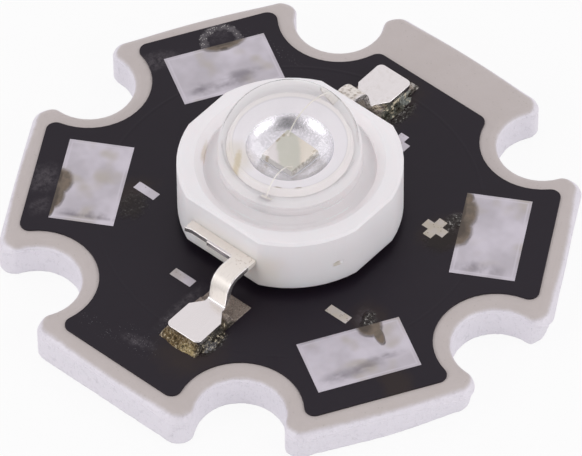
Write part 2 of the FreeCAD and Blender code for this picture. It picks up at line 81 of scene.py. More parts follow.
worn_foot_full = 0.04 * MM
same_point = 0.0002 * MM


class Nodes:
    """A node tree that is added to node by node."""

    def __init__(self, tree):
        self.tree = tree

    def feed(self, socket, value):
        """Links a socket to another, or sets its value. A colour may come without its fourth part."""
        if isinstance(value, bpy.types.NodeSocket):
            self.tree.links.new(value, socket)
        elif hasattr(value, "__len__") and len(value) == 3 and len(socket.default_value) == 4:
            socket.default_value = (*value, 1.0)
        else:
            socket.default_value = value

    def node(self, kind, inputs=(), **settings):
        made = self.tree.nodes.new("ShaderNode" + kind)
        for name, value in settings.items():
            setattr(made, name, value)
        for name, value in dict(inputs).items():
            self.feed(made.inputs[name], value)
        return made

    def math(self, operation, first, second=0.0):
        return self.node("Math", {0: first, 1: second}, operation=operation).outputs["Value"]

    def both(self, first, second):
        """1 only where both are 1."""
        return self.math("MULTIPLY", first, second)

    def apart(self, first, second):
        """How far two values are apart."""
        return self.math("ABSOLUTE", self.math("SUBTRACT", first, second))

    def span(self, value, low, high, out_low=0.0, out_high=1.0):
        """Eases value from out_low at low to out_high at high."""
        return self.node("MapRange", {"Value": value, "From Min": low, "From Max": high, "To Min": out_low,
                                      "To Max": out_high}, interpolation_type="SMOOTHSTEP").outputs["Result"]


class Finish(Nodes):
    """The finish of a surface: a material whose patterns lie on Object coordinates."""

    def __init__(self, name, color, roughness, metallic=0.0):
        self.material = bpy.data.materials.new(name)
        self.material.use_nodes = True
        super().__init__(self.material.node_tree)
        self.shader = self.tree.nodes["Principled BSDF"]
        self.set("Base Color", color)
        self.set("Roughness", roughness)
        self.set("Metallic", metallic)

    def set(self, name, value):
        self.feed(self.shader.inputs[name], value)

    def spot(self, centre=(0, 0), size=(1, 1, 1), turn=0.0):
        """Object coordinates about a centre in millimetres, turned about Z and divided by size."""
        where = self.node("TexCoord").outputs["Object"]
        place = (centre[0] * MM, centre[1] * MM, 0.0)
        return self.node("Mapping", {"Vector": where, "Location": place, "Rotation": (0, 0, turn),
                                     "Scale": size}, vector_type="TEXTURE").outputs["Vector"]

    def axis(self, name, centre=(0, 0), turn=0.0):
        return self.node("SeparateXYZ", {"Vector": self.spot(centre, turn=turn)}).outputs[name]

    def level_distance(self, where):
        """The distance from the origin of some coordinates, their height left out."""
        flat = self.node("VectorMath", {0: where, 1: (1, 1, 0)}, operation="MULTIPLY").outputs["Vector"]
        return self.node("VectorMath", {0: flat}, operation="LENGTH").outputs["Value"]

    def radius(self):
        """The distance from the board's axis."""
        return self.level_distance(self.spot())

    def noise(self, size, detail=3.0, roughness=0.5, stretch=(1, 1, 1), turn=0.0, centre=(0, 0)):
        where = self.spot(centre, tuple(size * part for part in stretch), turn)
        return self.node("TexNoise", {"Vector": where, "Scale": 1.0, "Detail": detail,
                                      "Roughness": roughness}).outputs["Fac"]

    def swing(self, value, reach):
        """A noise made to swing about zero."""
        return self.math("MULTIPLY", self.math("SUBTRACT", value, 0.5), reach)

    def crumbs(self, size, share):
        """1 in small scattered grains that cover a share of the surface."""
        cells = self.node("TexVoronoi", {"Vector": self.spot(size=(size, size, size)), "Scale": 1.0})
        picked = self.node("SeparateColor", {"Color": cells.outputs["Color"]}).outputs["Red"]
        near = self.span(cells.outputs["Distance"], 0.42, 0.25)
        return self.both(near, self.span(picked, 1.0 - share - 0.02, 1.0 - share))

    def patch(self, centre, size, turn=0.0, ragged=0.35, grain=0.3 * MM, edge=0.25, hollow=None):
        """1 inside an oval, 0 outside it, with an uneven edge. A hollow one is 1 on a ring only.

        The centre and the half sizes are in millimetres.
        """
        reach = self.level_distance(self.spot(centre, (size[0] * MM, size[1] * MM, 1.0), turn))
        reach = self.math("ADD", reach, self.swing(self.noise(grain, 3.0, 0.6), ragged * 2))
        if hollow is not None:
            reach = self.math("DIVIDE", self.apart(reach, 1.0), hollow)
        return self.span(reach, 1.0 + edge, 1.0 - edge)

    def mix(self, factor, first, second):
        """The first colour where factor is 0, and the second where it is 1."""
        # The node has a pair of sockets for each kind of value. Its colours are 6 and 7, and come out at 2.
        return self.node("Mix", {"Factor": factor, 6: first, 7: second}, data_type="RGBA").outputs[2]

    def tint(self, factor, color, share=1.0):
        """Lays a colour over the base colour where factor is 1."""
        socket = self.shader.inputs["Base Color"]
        under = socket.links[0].from_socket if socket.links else tuple(socket.default_value)
        if share != 1.0:
            factor = self.both(factor, share)
        self.set("Base Color", self.mix(factor, under, color))

    def bump(self, height, depth):
        """Raises the surface by depth where height is 1, on top of any bump made before."""
        made = self.node("Bump", {"Height": height, "Distance": depth})
        before = self.shader.inputs["Normal"].links
        if before:
            self.feed(made.inputs["Normal"], before[0].from_socket)
        self.set("Normal", made.outputs["Normal"])

    def swap_shader(self, factor, other):
        """Shows another shader in place of this one where factor is 1."""
        shaders = {"Fac": factor, 1: self.shader.outputs["BSDF"], 2: other}
        mixed = self.node("MixShader", shaders).outputs["Shader"]
        self.feed(self.tree.nodes["Material Output"].inputs["Surface"], mixed)


def merged_copy(node):
    """The shape of a CAD node in a bmesh, its loose triangles joined and its flat faces whole."""
    shape = bmesh.new()
    shape.from_mesh(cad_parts[node].data)
    bmesh.ops.remove_doubles(shape, verts=shape.verts, dist=same_point)
    bmesh.ops.dissolve_limit(shape, angle_limit=math.radians(0.5), verts=shape.verts, edges=shape.edges)
    return shape


def outline_of(node):
    """Points round a node's underside, each with its inward direction."""
    shape = merged_copy(node)
    under = max((face for face in shape.faces if face.normal.z < -0.9), key=lambda face: face.calc_area())
    corners = [vertex.co.xy.copy() for vertex in under.verts]
    shape.free()
    points = []
    for start, stop in zip(corners, corners[1:] + corners[:1]):
        steps = math.ceil((stop - start).length / outline_step)
        points += [start.lerp(stop, step / steps) for step in range(steps)]
    along = [after - before for before, after in zip(points[-1:] + points[:-1], points[1:] + points[:1])]
    return [(point, Vector((way.y, -way.x)).normalized()) for point, way in zip(points, along)]


def stacked(outline, rings):
    """A solid that grows from ring to ring. Each ring gives the place of an outline point."""
    shape = bmesh.new()
    order = shape.verts.layers.int.new("order")
    for number, (point, inward) in enumerate(outline):
        shape.verts.new(rings[0](point, inward))[order] = number
    cap = shape.faces.new(shape.verts)
    for step, ring in enumerate(rings[1:]):
        grown = bmesh.ops.extrude_face_region(shape, geom=[cap])["geom"]
        if step and cap.is_valid:
            bmesh.ops.delete(shape, geom=[cap], context="FACES_ONLY")
        cap = next(part for part in grown if isinstance(part, bmesh.types.BMFace))
        for vertex in cap.verts:
            vertex.co = ring(*outline[vertex[order]])
    bmesh.ops.recalc_face_normals(shape, faces=shape.faces)
    caps = [face for face in shape.faces if len(face.verts) > 4]
    bmesh.ops.triangulate(shape, faces=caps, ngon_method="EAR_CLIP")
    return shape


def fit_piece(shape, name, finish, replaced, crease=30.0):
    """Makes the object of a bmesh and puts it on the board, in place of the nodes it replaces."""
    mesh = bpy.data.meshes.new(name)
    shape.to_mesh(mesh)
    shape.free()
    mesh.shade_smooth()
    mesh.set_sharp_from_angle(angle=math.radians(crease))
    mesh.materials.append(finish.material)
    piece = bpy.data.objects.new(name, mesh)
    scene.collection.objects.link(piece)
    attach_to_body(piece, "root")
    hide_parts(*replaced)
    return piece


core_outline = outline_of("aluminium_core")
corner_reach = max(point.length for point, inward in core_outline)


def near_corner(point):
    """1 at the tips of the arms, 0 elsewhere."""
    share = max(0.0, 1.0 - (corner_reach - point.length) / corner_zone)
    return share * share * (3 - 2 * share)


def rolled_ring(inset, top):
    """A ring on the rolled edge below a level top."""
    rest = max(0.0, 1.0 - inset / roll_width)

    def place(point, inward):
        corner = near_corner(point)
        height = top - (roll_depth * rest + corner_fall * corner) * rest
        return (*(point + inward * inset * (1.0 + corner_spread * corner)), height)

    return place


def side_ring(inset, height):
    """A ring on the scored side, which is dented a little and tapers at the corners on -Y."""
    def place(point, inward):
        depth = 1.0 - height / core_top
        dent = noise.fractal(Vector((*point, height * 2)) / dent_size, 0.8, 2.0, 3)
        inward_by = inset + dent_depth * min(1.0, abs(dent))
        facing = min(1.0, max(0.0, (-point.y - taper_start) / (taper_full - taper_start)))
        taper = corner_taper * near_corner(point) * facing * depth ** taper_curve
        return (*(point * (1.0 - taper / point.length) + inward * inward_by), height)

    return place


side_top = core_top - roll_depth - corner_fall - side_gap
side_rise = side_top - foot_round
side_rings = [side_ring(foot_round * 2, 0.0), side_ring(foot_round, 0.0)]
side_rings += [side_ring(0.0, foot_round + side_rise * step / side_steps) for step in range(side_steps + 1)]
roll_rings = [rolled_ring(roll_width * step / roll_steps, core_top) for step in range(roll_steps + 1)]


def worn_edge(finish):
    """Beige on the level top, and pale metal where the edge rolls down below it."""
    dents = finish.noise(0.3 * MM, 5.0, 0.7)
    height = finish.math("ADD", finish.axis("Z"), finish.swing(dents, 0.09 * MM))
    dragged = finish.span(height, layer_top - drag_end, layer_top - drag_start)
    scores = finish.noise(score_size, 5.0, 0.75, (1, 1, score_length / score_size))
    finish.tint(finish.span(dents, 0.54, 0.68), core_worn_color, 0.4)
    finish.tint(finish.span(scores, 0.56, 0.72), core_worn_color, 0.8)
    finish.tint(finish.span(height, worn_foot_top, worn_foot_full), core_worn_color, 0.9)
    finish.tint(finish.crumbs(0.055 * MM, 0.03), core_fleck_color, 0.4)
    finish.tint(finish.noise(1.6 * MM, 2.0), core_pale_color, 0.5)
    finish.tint(dragged, finish.mix(finish.noise(0.9 * MM, 5.0, 0.6), resin_color, resin_pale_color))
    finish.tint(finish.both(dragged, finish.crumbs(0.09 * MM, 0.04)), resin_fleck_color, 0.3)
    finish.set("Metallic", finish.span(dragged, 0.0, 1.0, 0.4, 0.0))
    finish.bump(scores, 0.012 * MM)
    finish.bump(finish.both(dents, finish.span(dragged, 0.0, 1.0, 1.0, 0.1)), 0.05 * MM)


core_metal = Finish("punched_aluminium", core_color, 0.58, 1.0)
worn_edge(core_metal)
core_shape = stacked(core_outline, side_rings + roll_rings)
fit_piece(core_shape, "punched_core", core_metal, ["aluminium_core"])


# The dielectric is a thin layer of filled resin, pressed on the aluminium before the punching.
# It stays bare along the border and on the wide strip of one arm, where it looks beige grey.
resin_start = 0.02 * MM
resin_foot = 0.01 * MM
resin = Finish("filled_resin", core_color, 0.52)
worn_edge(resin)
resin.bump(resin.noise(0.05 * MM, 3.0), 0.003 * MM)
resin_rings = [rolled_ring(resin_start, core_top - resin_foot)]
resin_rings += [rolled_ring(roll_width * step / roll_steps, layer_top) for step in range(1, roll_steps + 1)]
resin_shape = stacked(core_outline, resin_rings)
fit_piece(resin_shape, "resin_layer", resin, ["dielectric_layer"], 50.0)


# The copper is etched in three areas: one each side for the two leads and their wire pads, and a
# round one under the emitter. The mask and the tin hide it.
def finish_node(name, finish):
    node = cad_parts[name]
    node.data.materials.clear()
    node.data.materials.append(finish.material)


copper = Finish("etched_copper", (0.62, 0.33, 0.22), 0.35, 1.0)
copper.bump(copper.noise(0.03 * MM, 2.0), 0.002 * MM)
for name in ("copper_negative", "copper_positive", "copper_thermal"):
    finish_node(name, copper)


# The mask is black lacquer, printed over the copper and left open at the pads and marks. It is
# slightly glossy, with one faint ring round the emitter, dust on the arms, and flux that soaked in,
# smeared or splashed as the pads and marks were soldered.
mask_color = (0.0115, 0.0080, 0.0145)
mask_pale_color = (0.0155, 0.0105, 0.0175)
mask_roughness = 0.36
flux_color = (0.040, 0.025, 0.014)
smear_color = (0.085, 0.075, 0.085)
dust_color = (0.30, 0.29, 0.31)
glassy_color = (0.012, 0.008, 0.006)
glassy_roughness = 0.14
crystal_color = (0.10, 0.095, 0.085)
crystal_glint_color = (0.55, 0.54, 0.52)
dried_ring_color = (0.14, 0.13, 0.14)
dried_ring_crumb_color = (0.50, 0.49, 0.47)
lacquer_ring_radius = 6.85 * MM
lacquer_ring_width = 0.10 * MM

# Places here and below are X and Y in millimetres, and sizes are half sizes.
# Flux that soaked in: place, size and turn.
soaked_flux = [
    ((-7.2, -1.6), (1.2, 1.0), 0.0),
    ((6.0, 0.6), (1.4, 0.9), 0.0),
    ((2.9, -5.0), (1.1, 0.7), -0.5),
    ((-2.2, -5.5), (0.8, 0.6), 0.6),
    ((-3.3, 5.1), (1.2, 0.5), -0.5),
    ((-3.9, -8.3), (0.5, 1.6), -0.52)]

# Smoky smears: place, size, turn and strength.
smears = [
    ((-4.55, 7.65), (0.60, 0.48), 0.0, 1.0),
    ((-5.6, 6.9), (0.40, 0.30), 0.0, 0.7),
    ((4.75, 7.55), (0.42, 0.42), 0.0, 0.5),
    ((2.2, 8.4), (0.35, 0.9), 1.05, 1.0),
    ((-8.12, 0.05), (0.20, 0.6), 0.2, 0.8),
    ((-2.2, -5.35), (0.45, 0.3), 0.5, 0.8),
    ((-6.0, -0.06), (1.0, 0.22), 0.0, 0.9)]

# Light dust: place, size and strength.
dusty_places = [
    ((-8.15, 0.2), (0.40, 0.9), 0.4),
    ((-8.5, 1.7), (0.25, 0.7), 0.4),
    ((-6.6, -0.2), (0.8, 0.25), 0.4),
    ((-3.3, 4.4), (0.7, 0.4), 0.3),
    ((5.4, 5.6), (0.25, 1.2), 0.4),
    ((5.6, -0.1), (0.8, 0.25), 0.4)]

# Splashes of flux that dried glassy: place, size, turn and how cracked they are.
splashes = [
    ((3.33, -4.80), (0.34, 0.28), 0.0, 1.0),
    ((-2.20, -5.50), (0.42, 0.24), 0.52, 1.0),
    ((-6.50, -2.10), (0.62, 0.18), 0.0, 0.8),
    ((-3.50, 4.40), (0.60, 0.45), 0.3, 0.1),
    ((6.05, -0.12), (0.55, 0.20), 0.0, 0.8),
    ((2.40, -4.95), (0.62, 0.50), 0.0, 0.0),
    ((2.90, -4.75), (0.30, 0.30), 0.0, 0.3)]

mask = Finish("black_solder_mask", mask_color, mask_roughness)
mask.set("Specular IOR Level", 0.26)
mask.tint(mask.noise(2.4 * MM, 4.0, 0.55), mask_pale_color, 0.8)
for centre, size, turn in soaked_flux:
    mask.tint(mask.patch(centre, size, turn, 0.5, 0.5 * MM, 0.5), flux_color, 0.4)

cloudy = mask.span(mask.noise(0.22 * MM, 5.0, 0.75), 0.30, 0.75)
for centre, size, turn, share in smears:
    smeared = mask.patch(centre, size, turn, 0.6, 0.3 * MM, 0.6)
    mask.tint(mask.both(smeared, cloudy), smear_color, share)

dust = mask.crumbs(0.045 * MM, 0.11)
for centre, size, share in dusty_places:
    dusty = mask.patch(centre, size, 0.0, 0.6, 0.5 * MM, 0.7)
    mask.tint(mask.both(dust, dusty), dust_color, share)

gloss = 0.0
cracked = 0.0
for centre, size, turn, cracks in splashes:
    splash = mask.patch(centre, size, turn, 0.5, 0.25 * MM, 0.35)
    gloss = mask.math("MAXIMUM", gloss, splash)
    cracked = mask.math("MAXIMUM", cracked, mask.both(splash, cracks))
crystals = mask.noise(0.10 * MM, 3.0, 0.65)
mask.tint(gloss, glassy_color, 0.7)
mask.tint(mask.both(cracked, mask.span(crystals, 0.46, 0.60)), crystal_color, 0.9)
# Painted glints: pale specks on the cracked crystals stand in for their highlights.
mask.tint(mask.both(cracked, mask.span(crystals, 0.60, 0.66)), crystal_glint_color, 0.9)

dried_ring = mask.patch((4.57, 7.23), (0.66, 0.62), 0.0, 0.3, 0.25 * MM, 0.6, 0.18)
mask.tint(mask.both(dried_ring, mask.noise(0.3 * MM, 3.0)), dried_ring_color, 1.2)
mask.tint(mask.both(dried_ring, mask.crumbs(0.065 * MM, 0.45)), dried_ring_crumb_color, 0.9)
mask.set("Roughness", mask.span(gloss, 0.0, 1.0, mask_roughness, glassy_roughness))
mask.bump(mask.both(cracked, crystals), 0.12 * MM)
mask.bump(gloss, 0.02 * MM)
from_lacquer_ring = mask.apart(mask.radius(), lacquer_ring_radius)
mask.bump(mask.span(from_lacquer_ring, lacquer_ring_width, 0.0), 0.006 * MM)
mask.bump(mask.noise(0.035 * MM, 2.0), 0.0015 * MM)
mask.bump(mask.noise(1.3 * MM, 2.0), 0.010 * MM)
finish_node("solder_mask", mask)


# The wire pads and the marks are copper dipped in molten tin, which sets in a soft uneven coat
# with a thicker rim. On each wire pad a stretch of one edge took no tin, and flux dried there.
tin_color = (0.54, 0.515, 0.555)
tin_fold_shade_color = (0.19, 0.175, 0.20)
tin_highlight_color = (0.68, 0.65, 0.71)
tin_cream_color = (0.50, 0.465, 0.42)
stain_color = (0.20, 0.155, 0.115)
stain_grey_color = (0.14, 0.115, 0.088)
stain_dark_color = (0.060, 0.045, 0.034)
mark_crumb_color = (0.25, 0.22, 0.16)
mark_cream_color = (0.56, 0.51, 0.40)
mark_stain_color = (0.10, 0.085, 0.035)
stained_crumb_color = (0.20, 0.16, 0.08)
pad_low = 6.02
pad_high = 8.36
pad_half_width = 1.9
pad_middle = (pad_low + pad_high) / 2
pad_half_depth = (pad_high - pad_low) / 2
rim_highlight_inset = 0.12 * MM

# For each wire pad, by the angle of its arm: the folds in the tin, which get painted shade, the brown
# stains and the nearly black ones. Each is given as out, along, half depth and half width in millimetres.
wire_pads = {
    60: ([(6.45, 0.3, 0.20, 1.0), (6.75, -0.5, 0.16, 0.6), (6.5, 1.2, 0.3, 0.2)],
         [(8.42, -0.35, 0.36, 0.80)],
         [(8.10, -0.30, 0.11, 0.14), (8.36, -0.35, 0.12, 0.5)]),
    120: ([(7.1, 1.50, 0.7, 0.14), (7.1, 1.62, 1.0, 0.07)],
          [(8.34, 0.15, 0.50, 0.60), (8.36, 0.85, 0.36, 0.60), (8.40, 1.45, 0.16, 0.4)],
          [(8.34, 1.00, 0.14, 0.6), (8.36, -0.1, 0.10, 0.3)]),
    240: ([(7.92, -0.95, 0.22, 0.55), (7.78, 0.05, 0.20, 0.50), (7.55, 0.85, 0.12, 0.50)],
          [(6.05, 0.78, 0.48, 0.44), (6.50, 0.96, 0.52, 0.17)],
          [(6.05, 0.62, 0.26, 0.24)]),
    300: ([(6.9, -1.56, 0.85, 0.24)],
          [(5.98, 0.85, 0.55, 0.90), (5.98, 0.05, 0.50, 0.70), (6.0, 1.6, 0.30, 0.35)],
          [(6.02, 0.15, 0.30, 0.45), (6.0, 0.9, 0.12, 0.6)])}


def board_point(angle, out, along):
    """A place given by an arm's angle, the distance out along it and the distance to its left."""
    turn = math.radians(angle)
    return (out * math.cos(turn) - along * math.sin(turn),
            out * math.sin(turn) + along * math.cos(turn))


def on_pad(tin, angle, place, ragged, grain, edge):
    """A patch on a wire pad, given as out, along, half depth and half width."""
    out, along, depth, width = place
    return tin.patch(board_point(angle, out, along), (depth, width), math.radians(angle), ragged, grain, edge)


def tin_finish(name, seed):
    """A coat of tin. The seed moves its pattern, so that no two look alike."""
    tin = Finish(name, tin_color, 0.36, 1.0)
    swell = tin.noise(1.2 * MM, 2.0, 0.5, centre=(seed, 0))
    creamy = tin.span(tin.noise(1.0 * MM, 1.0, 0.5, centre=(0, seed)), 0.50, 0.75)
    # Painted sheen: the tin is made lighter where its coat swells.
    tin.tint(tin.span(swell, 0.35, 0.70), tin_highlight_color)
    tin.tint(creamy, tin_cream_color, 0.8)
    tin.set("Roughness", tin.span(tin.noise(0.5 * MM, 3.0), 0.3, 0.7, 0.30, 0.46))
    tin.bump(swell, 0.10 * MM)
    tin.bump(tin.noise(0.08 * MM, 3.0), 0.003 * MM)
    return tin


for angle, (shaded_folds, stains, dark_stains) in wire_pads.items():
    tin = tin_finish(f"wire_pad_tin_{angle}", angle * 0.11)
    turn = math.radians(angle)
    pad_centre = board_point(angle, pad_middle, 0.0)
    from_middle = tin.math("ABSOLUTE", tin.axis("X", pad_centre, turn))
    from_midline = tin.math("ABSOLUTE", tin.axis("Y", pad_centre, turn))
    to_end = tin.math("SUBTRACT", pad_half_depth * MM, from_middle)
    to_side = tin.math("SUBTRACT", pad_half_width * MM, from_midline)
    to_rim = tin.math("MINIMUM", to_side, to_end)
    streaks = tin.span(tin.noise(0.5 * MM, 3.0, 0.55, (1, 1.6, 1), turn), 0.30, 0.62)
    # Painted shade: the folds are darkened in the colour, broken up by streaks.
    for place in shaded_folds:
        tin.tint(tin.both(on_pad(tin, angle, place, 0.5, 0.5 * MM, 0.9), streaks), tin_fold_shade_color, 0.62)
    # Painted highlight: a bright line just inside the pad's rim.
    tin.tint(tin.span(tin.apart(to_rim, rim_highlight_inset), 0.05 * MM, 0.01 * MM), tin_highlight_color, 0.5)
    stained = 0.0
    for place in stains:
        stained = tin.math("MAXIMUM", stained, on_pad(tin, angle, place, 0.14, 0.35 * MM, 0.22))
    mottles = tin.span(tin.noise(0.25 * MM, 4.0, 0.65), 0.35, 0.65)
    tin.tint(stained, tin.mix(mottles, stain_color, stain_grey_color))
    for place in dark_stains:
        tin.tint(tin.both(on_pad(tin, angle, place, 0.4, 0.2 * MM, 0.4), stained), stain_dark_color, 0.8)
    tin.set("Metallic", tin.span(stained, 0.0, 1.0, 1.0, 0.1))
    tin.bump(tin.span(stained, 0.0, 1.0, 1.0, 0.0), 0.06 * MM)
    tin.bump(tin.span(to_rim, 0.0, 0.08 * MM), 0.010 * MM)
    finish_node(f"wire_pad_{angle}", tin)

mark_tin = tin_finish("mark_tin", 9.0)
mark_tin.tint(mark_tin.crumbs(0.07 * MM, 0.10), mark_crumb_color, 0.6)
for mark in ("minus_mark_left", "minus_mark_rear", "plus_mark_right", "plus_mark_rear"):
    finish_node(mark, mark_tin)

stained_tin = tin_finish("stained_mark_tin", 3.0)
stained_tin.tint(stained_tin.noise(0.4 * MM, 3.0), mark_cream_color, 1.4)
stained_tin.set("Metallic", 0.4)
mark_stain = stained_tin.patch((3.45, -4.2), (0.18, 0.35), 0.0, 0.6, 0.12 * MM, 0.5)
stained_tin.tint(mark_stain, mark_stain_color, 0.9)
stained_tin.tint(stained_tin.crumbs(0.07 * MM, 0.12), stained_crumb_color, 0.6)
for mark in ("minus_mark_front", "plus_mark_front"):
    finish_node(mark, stained_tin)


# Solder joins each lead's foot to its pad, and has a crust of flux and dross round the foot. On -X
# it is amber at the outer end, black and glassy along one side, and flat and brown at the inner
# end. On +X it is coarser and greenish grey along one side.
solder_color = (0.30, 0.25, 0.22)
solder_pale_color = (0.42, 0.36, 0.33)
grain_glint_color = (0.76, 0.68, 0.50)
grain_gap_shade_color = (0.030, 0.024, 0.014)
amber_color = (0.19, 0.13, 0.055)
straw_color = (0.50, 0.40, 0.20)
black_crust_color = (0.040, 0.036, 0.030)
dross_color = (0.22, 0.22, 0.23)
dark_brown_color = (0.11, 0.085, 0.05)
flat_brown_color = (0.34, 0.285, 0.245)
dull_brown_color = (0.30, 0.25, 0.22)
green_grey_color = (0.085, 0.090, 0.072)
green_pale_color = (0.22, 0.24, 0.22)
umber_color = (0.12, 0.10, 0.08)
pale_crust_color = (0.50, 0.47, 0.44)
foot_width = 1.5 * MM
foot_length = 1.87 * MM
spill = 0.6 * MM
spill_sink = 0.015 * MM
spill_slope = 0.12
crust_cells = (150, 110)
crust_grain = 0.13 * MM
crust_lump = 0.30 * MM
fillet_height = 0.20 * MM
fillet_reach = 0.10 * MM
film_height = 0.006 * MM
film_grain = 0.004 * MM
solder_skin = 0.03 * MM


def beyond(place, middle, half):
    """How far a place lies outside a rectangle, given by its middle and its half sizes."""
    return Vector((max(0.0, abs(place.x - middle.x) - half[0]),
                   max(0.0, abs(place.y - middle.y) - half[1]))).length


def crusted_solder(name, lead, side, ridges, finish):
    """The joint at a lead's foot. The side is 1 on +X and -1 on -X, half a turn away.

    Each ridge is an oval where the crust stands up: x, y, half sizes and height in millimetres.
    """
    low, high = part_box(name)
    lead_low, lead_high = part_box(lead)
    mask_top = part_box("solder_mask")[1].z
    foot_end = lead_high.x if side > 0 else -lead_low.x
    foot_side = lead_high.y if side > 0 else -lead_low.y
    foot_middle = Vector((foot_end - foot_length / 2, foot_side - foot_width / 2))
    foot_half = (foot_length / 2, foot_width / 2)
    joint_middle = Vector(((low.x + high.x) / 2 * side, (low.y + high.y) / 2 * side))
    joint_half = Vector(((high.x - low.x) / 2, (high.y - low.y) / 2))

    shape = bmesh.new()
    bmesh.ops.create_grid(shape, x_segments=crust_cells[0], y_segments=crust_cells[1], size=0.5)
    bmesh.ops.scale(shape, verts=shape.verts, vec=(high.x - low.x + 2 * spill, high.y - low.y + 2 * spill, 1))
    bmesh.ops.translate(shape, verts=shape.verts, vec=((low.x + high.x) / 2, (low.y + high.y) / 2, low.z))
    for point in shape.verts:
        place = Vector((point.co.x * side, point.co.y * side))
        beyond_foot = beyond(place, foot_middle, foot_half)
        beyond_joint = beyond(place, joint_middle, joint_half)
        grain = noise.fractal(Vector((point.co.x, point.co.y, 0.0)) / crust_grain, 0.7, 2.1, 4)
        lump = noise.noise(Vector((point.co.x, point.co.y, crust_lump)) / crust_lump)
        crust = 0.0
        for x, y, reach_x, reach_y, rise in ridges:
            away = Vector(((point.co.x / MM - x) / reach_x, (point.co.y / MM - y) / reach_y)).length
            crust = max(crust, rise * max(0.0, 1.0 - away ** 2))
        rough = crust * (0.8 + 0.55 * grain + 0.4 * lump) * MM
        if beyond_joint > 0.0:
            level = mask_top - spill_sink - beyond_joint * spill_slope + rough
        else:
            fillet = fillet_height * math.exp(-beyond_foot / fillet_reach)
            level = mask_top + film_height + fillet + max(0.0, rough) + film_grain * grain
        point.co.z = level
    bmesh.ops.solidify(shape, geom=shape.faces[:], thickness=solder_skin)
    bmesh.ops.recalc_face_normals(shape, faces=shape.faces)
    fit_piece(shape, name + "_crust", finish, [name], 60.0)


def lay_on(solder, ovals):
    """Lays on colours in ovals: x, y, half sizes, colour and share."""
    for x, y, reach_x, reach_y, color, share in ovals:
        solder.tint(solder.patch((x, y), (reach_x, reach_y), 0.0, 0.4, 0.2 * MM, 0.35), color, share)


def solder_finish(name, grain_size, tints, films=()):
    """Grainy solder with painted glints and shade on its grains. The tints lie under its grains, and the
    films cover them.
    """
    solder = Finish(name, solder_color, 0.38)
    solder.set("Metallic", 0.5)
    solder.tint(solder.span(solder.noise(0.3 * MM, 4.0, 0.6), 0.3, 0.7), solder_pale_color, 0.8)
    lay_on(solder, tints)
    grains = solder.noise(grain_size, 4.0, 0.7)
    # Painted glints on the high grains, and painted shade in the low gaps between them.
    solder.tint(solder.span(grains, 0.54, 0.66), grain_glint_color, 0.85)
    solder.tint(solder.span(grains, 0.49, 0.41), grain_gap_shade_color, 0.9)
    lay_on(solder, films)
    solder.set("Roughness", solder.span(solder.noise(0.12 * MM, 3.0), 0.35, 0.65, 0.15, 0.50))
    solder.bump(grains, 0.05 * MM)
    return solder


near_tints = [
    (-7.25, -1.15, 0.35, 1.0, amber_color, 1.0),
    (-7.38, -1.6, 0.16, 0.35, straw_color, 0.7),
    (-6.3, -2.02, 1.1, 0.26, black_crust_color, 1.0),
    (-6.70, -2.08, 0.28, 0.14, dross_color, 0.8),
    (-5.75, -1.70, 0.22, 0.25, dark_brown_color, 0.9)]
near_films = [
    (-4.70, -1.35, 0.62, 1.1, flat_brown_color, 0.85),
    (-5.0, -0.35, 0.6, 0.3, dull_brown_color, 0.8)]
near_ridges = [
    (-7.26, -1.15, 0.26, 0.90, 0.13),
    (-6.5, -2.04, 0.75, 0.22, 0.10),
    (-5.75, -1.75, 0.25, 0.22, 0.07)]
near_solder = solder_finish("near_solder_crust", 0.09 * MM, near_tints, near_films)
crusted_solder("solder_joint_negative", "lead_negative", -1, near_ridges, near_solder)

far_tints = [
    (5.9, 0.20, 0.9, 0.30, green_grey_color, 1.0),
    (6.7, 0.26, 0.35, 0.2, green_pale_color, 0.9),
    (5.2, 1.1, 0.4, 0.8, umber_color, 0.9),
    (7.35, 0.42, 0.2, 0.25, pale_crust_color, 0.9)]
far_ridges = [
    (6.1, 0.22, 0.85, 0.26, 0.12),
    (7.3, 0.5, 0.2, 0.25, 0.05),
    (5.3, 0.9, 0.3, 0.8, 0.06),
    (6.3, 1.92, 0.8, 0.15, 0.05)]
far_solder = solder_finish("far_solder_crust", 0.26 * MM, far_tints)
crusted_solder("solder_joint_positive", "lead_positive", 1, far_ridges, far_solder)

slug_bond = Finish("slug_solder", (0.50, 0.49, 0.47), 0.42, 1.0)
slug_bond.bump(slug_bond.noise(0.25 * MM, 4.0, 0.6), 0.03 * MM)
finish_node("slug_solder", slug_bond)


# The heat slug is turned from copper and plated. Its post carries a shallow bright bowl, a little
# pitted on its wall, with a flat rim round it. The rim is made matt and white as a painted reflection,
# its fine groove is drawn only as a painted line of shade, and a warm patch and streak by the bowl
# are a painted glint of the gold lead tip.
slug_low, slug_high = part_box("heat_slug")
slug_base = slug_high.x
step_height = core_top + 1.08 * MM
post_radius = 1.5 * MM
rim_round = 0.03 * MM
bowl_mouth = 1.06 * MM
bowl_floor = 0.66 * MM
bowl_depth = 0.20 * MM
groove_radius = 1.40 * MM
slug_color = (0.80, 0.79, 0.83)
slug_bright_color = (0.93, 0.92, 0.96)
rim_reflection_color = (0.97, 0.945, 0.975)
rim_outer_reflection_color = (0.98, 0.945, 0.935)
groove_shade_color = (0.70, 0.68, 0.70)
lead_glint_warm_color = (0.84, 0.78, 0.68)
lead_glint_streak_color = (0.70, 0.60, 0.40)
bowl_spot_color = (0.42, 0.34, 0.27)


